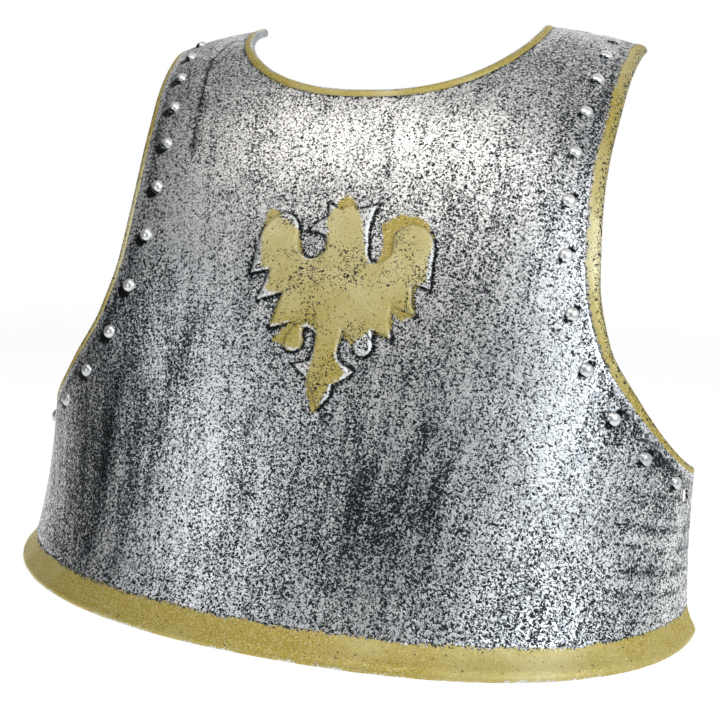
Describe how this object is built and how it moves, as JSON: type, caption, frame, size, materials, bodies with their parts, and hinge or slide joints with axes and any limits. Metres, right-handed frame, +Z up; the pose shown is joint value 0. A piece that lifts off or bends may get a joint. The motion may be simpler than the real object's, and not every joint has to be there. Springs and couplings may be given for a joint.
{
  "type": "steel breastplate with gold edges and an eagle badge",
  "caption": "Curved front breastplate that stands on its flared waist band, with rolled neck and arm edges, riveted arm openings, lacing holes and a raised eagle.",
  "frame": {"origin": "on the ground below the middle of the bounding box, in the plane of the waist band's flat foot", "axes": "+Z up, -Y out of the wearer's chest, +X toward the wearer's left"},
  "size_m": [0.394, 0.2172, 0.3239],
  "materials": {
    "plate": "silver with fine black antiquing",
    "edge": "satin gold, lightly worn",
    "badge": "satin gold, overpainted by hand",
    "rivet": "satin silver"
  },
  "bodies": {
    "root": {"breastplate_shell": "plate", "neck_roll": "edge", "arm_roll_left": "edge", "arm_roll_right": "edge", "waist_flange": "edge", "eagle_badge": "badge", "rivet_left_01": "rivet", "rivet_left_02": "rivet", "rivet_left_03": "rivet", "rivet_left_04": "rivet", "rivet_left_05": "rivet", "rivet_left_06": "rivet", "rivet_left_07": "rivet", "rivet_left_08": "rivet", "rivet_left_09": "rivet", "rivet_left_10": "rivet", "rivet_left_11": "rivet", "rivet_left_12": "rivet", "rivet_right_01": "rivet", "rivet_right_02": "rivet", "rivet_right_03": "rivet", "rivet_right_04": "rivet", "rivet_right_05": "rivet", "rivet_right_06": "rivet", "rivet_right_07": "rivet", "rivet_right_08": "rivet", "rivet_right_09": "rivet", "rivet_right_10": "rivet", "rivet_right_11": "rivet", "rivet_right_12": "rivet"}
  },
  "joints": []
}
